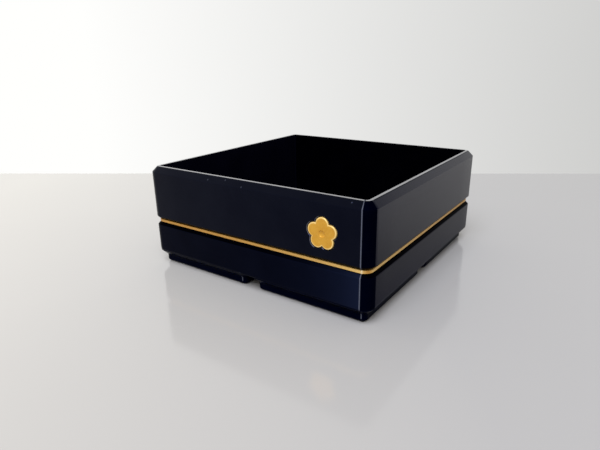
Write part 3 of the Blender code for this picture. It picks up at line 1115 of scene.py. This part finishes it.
def leftness(tree, direction):
    """How far a direction or a place lies to the left of the picture, as a dot product with that side."""
    node = tree.nodes.new("ShaderNodeVectorMath")
    node.operation = "DOT_PRODUCT"
    node.inputs[1].default_value = -level
    tree.links.new(direction, node.inputs[0])
    return node.outputs["Value"]


paint, tree, shader = new_finish("table_paint")
place = tree.nodes.new("ShaderNodeTexCoord")
painted_light_share = ranged(tree, leftness(tree, place.outputs["Object"]), 0.0, 1.0, TONE_FROM, TONE_TO)
tree.links.new(blended(tree, painted_light_share, SHADED_PAINT_RIGHT, LIT_PAINT_LEFT), shader.inputs["Base Color"])
paint_clouds = speckle(tree, PAINT_CLOUD, PAINT_STRETCH)
tree.links.new(ranged(tree, paint_clouds, PAINT_GLOSSY, PAINT_DULL), shader.inputs["Roughness"])
shader.inputs["IOR"].default_value = PAINT_INDEX
table_mesh.materials.append(paint)
print("table is", paint.name)

# %% [markdown]
# ## Light
# Soft daylight comes from behind the camera, and the pale room fills in the rest. The daylight is a
# wide area lamp, high above and left of the camera, so the bin's shadow falls behind it and the gap
# between its feet stays dark. The room is the world, nearly even from the horizon to overhead. The
# lamp is a little cool and the room a little warm. What the camera sees of the room, straight or in a
# reflection, is a plain white that falls off to the right and overhead.

# %% Panel of light
PANEL_BACK, PANEL_LEFT, PANEL_UP = 1.15, 0.33, 1.8
PANEL_SIZE, PANEL_POWER = 1.5, 44.2
PANEL_TINT = (0.905, 0.933, 1.0)

panel_data = bpy.data.lights.new("daylight_panel", "AREA")
panel_data.size = PANEL_SIZE
panel_data.energy = PANEL_POWER
panel_data.color = PANEL_TINT
panel = bpy.data.objects.new("daylight_panel", panel_data)
panel_place = np.array([0.0, 0.0, PANEL_UP]) - PANEL_BACK * ahead - PANEL_LEFT * level
panel_back = panel_place / np.linalg.norm(panel_place)
panel_side = np.cross([0.0, 0.0, 1.0], panel_back)
panel_side /= np.linalg.norm(panel_side)
stand(panel, panel_side, np.cross(panel_back, panel_side), panel_back, panel_place)

# %% Room light
ROOM_HORIZON, ROOM_CEILING = 0.545, 0.51
ROOM_TINT = (1.0, 0.951, 0.832, 1.0)
LOW_LOOK, HIGH_LOOK = 0.4, 0.75

world = bpy.data.worlds.new("pale_room")
world.use_nodes = True
bpy.context.scene.world = world
tree = world.node_tree
look = tree.nodes.new("ShaderNodeTexCoord")
parts = tree.nodes.new("ShaderNodeSeparateXYZ")
tree.links.new(look.outputs["Generated"], parts.inputs["Vector"])
room = tree.nodes["Background"]
room.inputs["Color"].default_value = ROOM_TINT
room_level = ranged(tree, parts.outputs["Z"], ROOM_HORIZON, ROOM_CEILING, LOW_LOOK, HIGH_LOOK)
tree.links.new(room_level, room.inputs["Strength"])
print("room light runs from", ROOM_HORIZON, "to", ROOM_CEILING)

# %% White behind the table
WHITE_TINT = (1.0, 1.0, 0.985, 1.0)
WHITE_LEFT, WHITE_RIGHT = 1.0, 0.63
WHITE_OVERHEAD = 0.5
WHITE_FROM = 0.38
VIEW_HALF = PICTURE_WIDTH / 2 / np.hypot(PICTURE_WIDTH / 2, FOCAL_PIXELS)

white = tree.nodes.new("ShaderNodeBackground")
white.inputs["Color"].default_value = WHITE_TINT
to_left = leftness(tree, look.outputs["Generated"])
left_white = ranged(tree, to_left, WHITE_RIGHT, WHITE_LEFT, -VIEW_HALF, WHITE_FROM)
high_white = ranged(tree, parts.outputs["Z"], 1.0, WHITE_OVERHEAD, LOW_LOOK, HIGH_LOOK)
dimmed = tree.nodes.new("ShaderNodeMath")
dimmed.operation = "MULTIPLY"
tree.links.new(left_white, dimmed.inputs[0])
tree.links.new(high_white, dimmed.inputs[1])
tree.links.new(dimmed.outputs["Value"], white.inputs["Strength"])
print("white runs from", WHITE_LEFT, "on the left to", WHITE_RIGHT, "on the right")

# %% Which rays see the white
seen = tree.nodes.new("ShaderNodeLightPath")
either = tree.nodes.new("ShaderNodeMath")
either.operation = "ADD"
shown_in = tree.nodes.new("ShaderNodeMath")
shown_in.operation = "ADD"
shown_in.use_clamp = True
tree.links.new(seen.outputs["Is Glossy Ray"], either.inputs[0])
tree.links.new(seen.outputs["Is Transmission Ray"], either.inputs[1])
tree.links.new(seen.outputs["Is Camera Ray"], shown_in.inputs[0])
tree.links.new(either.outputs["Value"], shown_in.inputs[1])
shown = tree.nodes.new("ShaderNodeMixShader")
tree.links.new(shown_in.outputs["Value"], shown.inputs["Fac"])
tree.links.new(room.outputs["Background"], shown.inputs[1])
tree.links.new(white.outputs["Background"], shown.inputs[2])
tree.links.new(shown.outputs["Shader"], tree.nodes["World Output"].inputs["Surface"])
bpy.context.scene.view_settings.view_transform = "Standard"
print("world has", len(tree.nodes), "nodes")

# %% [markdown]
# ## The pieces and the solids
# Each piece rides on the bin's only body, and the solids from model.glb are hidden. For each solid, one
# piece says that it stands for it. The two boxes are written down so that sizes can be compared.

# %% Put the pieces on the body and hide the solids
for piece, slot in (
    (tray_wall, "tray_black"),
    (floor_skin, "tray_black"),
    (feet, "tray_black"),
    (soles, "tray_black"),
    (band, "band_gold"),
    (upper, "frame_black"),
    (blossom, "inlay_gold"),
):
    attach(piece, "root")
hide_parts("lower_tray")
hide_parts("gold_band")
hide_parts("upper_frame")
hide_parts("inlay")
